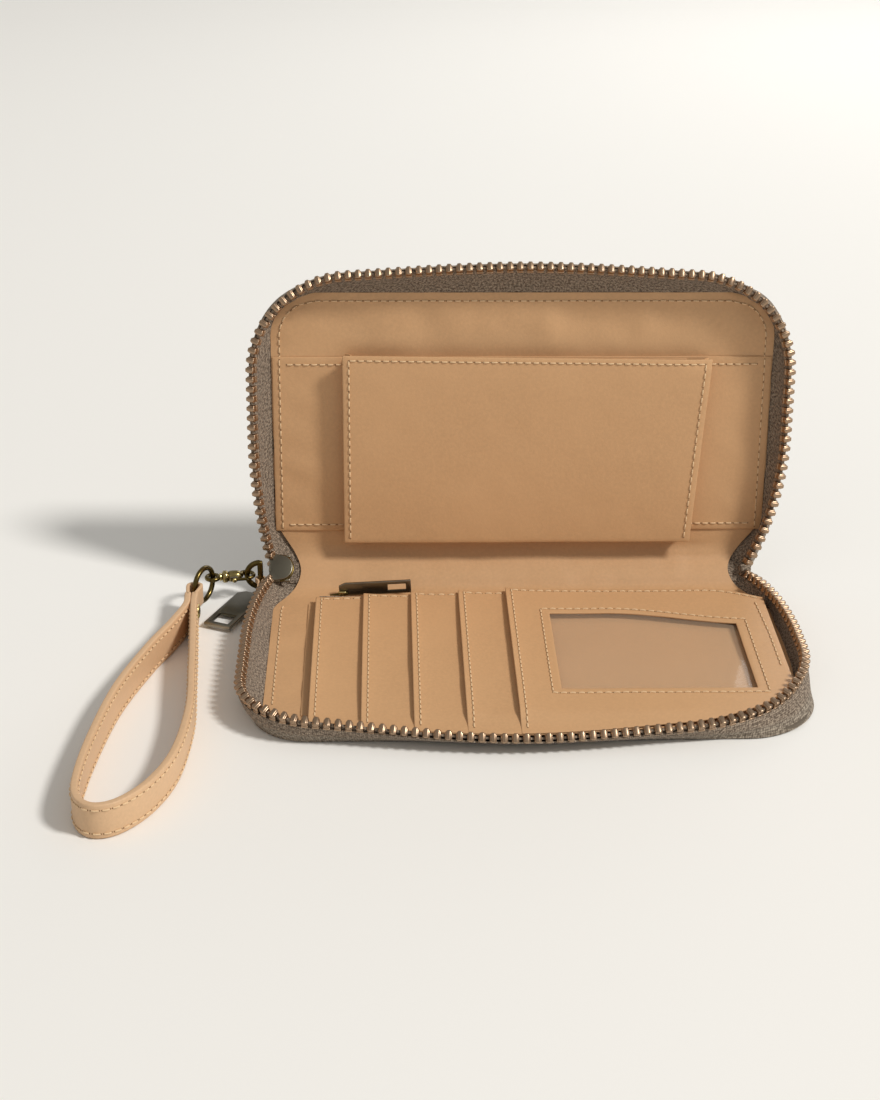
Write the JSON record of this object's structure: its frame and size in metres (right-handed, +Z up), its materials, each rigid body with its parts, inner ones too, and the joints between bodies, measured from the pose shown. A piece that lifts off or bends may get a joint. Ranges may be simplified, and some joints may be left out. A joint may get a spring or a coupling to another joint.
{
  "type": "zip around wallet",
  "caption": "Zip around wallet, shown open: two boarded halves on a soft spine, card, window, coin and phone pockets inside, and a leather wrist strap on a snap hook.",
  "frame": {"origin": "middle of the lower half's flat underside", "axes": "+X across the wallet to the right, +Y from the front edge to the folds, +Z up"},
  "size_m": [0.2557, 0.1901, 0.1247],
  "materials": {
    "outer_cloth": "grey-taupe woven cloth with small coloured flecks",
    "stiffener": "pressed board, hidden between cloth and lining",
    "lining_leather": "smooth tan leather, topstitched",
    "zip_tape": "fine woven dark taupe tape",
    "zip_teeth": "antique copper",
    "gunmetal": "dark gunmetal, semi-gloss",
    "antique_brass": "antique brass, worn edges",
    "clear_vinyl": "clear flexible vinyl, glossy",
    "strap_leather": "smooth tan leather, stitched along both edges"
  },
  "bodies": {
    "lower_half": {"lower_cover": "outer_cloth", "lower_board": "stiffener", "lower_lining": "lining_leather", "lower_zip_tape": "zip_tape", "lower_zip_teeth": "zip_teeth", "coin_pouch_back": "lining_leather", "card_panel": "lining_leather", "card_pocket_1": "lining_leather", "card_pocket_2": "lining_leather", "card_pocket_3": "lining_leather", "card_pocket_4": "lining_leather", "id_backing": "lining_leather", "id_window": "clear_vinyl", "id_panel": "lining_leather", "coin_zip_tape": "zip_tape", "coin_zip_teeth": "zip_teeth", "d_ring_tab": "strap_leather"},
    "spine": {"spine_cover": "outer_cloth", "spine_lining": "lining_leather", "zip_tail_left": "zip_tape", "zip_tail_right": "zip_tape", "zip_bottom_stop": "zip_teeth", "zip_slider": "gunmetal"},
    "upper_half": {"upper_cover": "outer_cloth", "upper_board": "stiffener", "upper_lining": "lining_leather", "upper_zip_tape": "zip_tape", "upper_zip_teeth": "zip_teeth", "strip_pocket": "lining_leather", "phone_pocket_back": "lining_leather", "phone_gusset_left": "lining_leather", "phone_gusset_right": "lining_leather", "phone_gusset_bottom": "lining_leather"},
    "phone_pocket_front": {"phone_pocket_front": "lining_leather"},
    "pull_link": {"pull_link": "gunmetal"},
    "zip_pull": {"zip_pull": "gunmetal"},
    "coin_slider": {"coin_slider": "gunmetal"},
    "coin_pull": {"coin_pull": "gunmetal"},
    "d_ring": {"d_ring": "antique_brass"},
    "snap_hook": {"snap_hook": "antique_brass"},
    "hook_gate": {"hook_gate": "antique_brass"},
    "swivel_eye": {"swivel_eye": "antique_brass"},
    "strap_ring": {"strap_ring": "antique_brass"},
    "wrist_strap": {"wrist_strap": "strap_leather", "strap_rivet": "antique_brass"}
  },
  "joints": [
    {"name": "spine_fold", "type": "hinge", "parent": "lower_half", "child": "spine", "pos_m": [0, 0.054, 0], "axis": [1, 0, 0], "range_deg": [-24, 48]},
    {"name": "upper_fold", "type": "hinge", "parent": "spine", "child": "upper_half", "pos_m": [0, 0.06886, 0.01338], "axis": [1, 0, 0], "range_deg": [-24, 48]},
    {"name": "pocket_flare", "type": "hinge", "parent": "upper_half", "child": "phone_pocket_front", "pos_m": [0, 0.05955, 0.02039], "axis": [1, 0, 0], "range_deg": [-4, 0], "deforming": ["phone_gusset_left", "phone_gusset_right", "phone_gusset_bottom"]},
    {"name": "pull_hang", "type": "hinge", "parent": "spine", "child": "pull_link", "pos_m": [-0.0953, 0.06316, 0.00327], "axis": [1, 0, 0], "range_deg": [0, 20]},
    {"name": "pull_level", "type": "hinge", "parent": "pull_link", "child": "zip_pull", "pos_m": [-0.104, 0.0546, 0.002], "axis": [1, 0, 0], "range_deg": [-48, 24]},
    {"name": "coin_slide", "type": "slide", "parent": "lower_half", "child": "coin_slider", "axis": [1, 0, 0], "range_m": [0, 0.12]},
    {"name": "coin_pull_swing", "type": "hinge", "parent": "coin_slider", "child": "coin_pull", "pos_m": [-0.07, 0.0499, 0.0061], "axis": [0, 0, 1], "range_deg": [0, 4.5]},
    {"name": "d_ring_swing", "type": "hinge", "parent": "lower_half", "child": "d_ring", "pos_m": [-0.101, 0.0545, 0.0102], "axis": [0, 0, 1], "range_deg": [-40, 1.5]},
    {"name": "hook_turn", "type": "hinge", "parent": "d_ring", "child": "snap_hook", "pos_m": [-0.1062, 0.0545, 0.01], "axis": [0, 0, 1], "range_deg": [-25, 1.5]},
    {"name": "gate_slide", "type": "slide", "parent": "snap_hook", "child": "hook_gate", "axis": [-0.9885, -0.1509, 0], "range_m": [0, 0.0025], "stiffness_N_per_m": 200, "springref_m": -0.001},
    {"name": "swivel_turn", "type": "hinge", "parent": "snap_hook", "child": "swivel_eye", "pos_m": [-0.1193, 0.0525, 0.01], "axis": [-0.9885, -0.1509, 0], "continuous": true},
    {"name": "ring_swing", "type": "hinge", "parent": "swivel_eye", "child": "strap_ring", "pos_m": [-0.1193, 0.0525, 0.01], "axis": [0, 0, 1], "range_deg": [-25, 1.5]},
    {"name": "strap_swing", "type": "hinge", "parent": "strap_ring", "child": "wrist_strap", "pos_m": [-0.12524, 0.04071, 0.01], "axis": [0, 0, 1], "range_deg": [-40, 1.5]}
  ],
  "couplings": [
    {"joint": "spine_fold", "follows": "upper_fold", "ratio": 1},
    {"joint": "pull_level", "follows": "upper_fold", "ratio": -1}
  ]
}
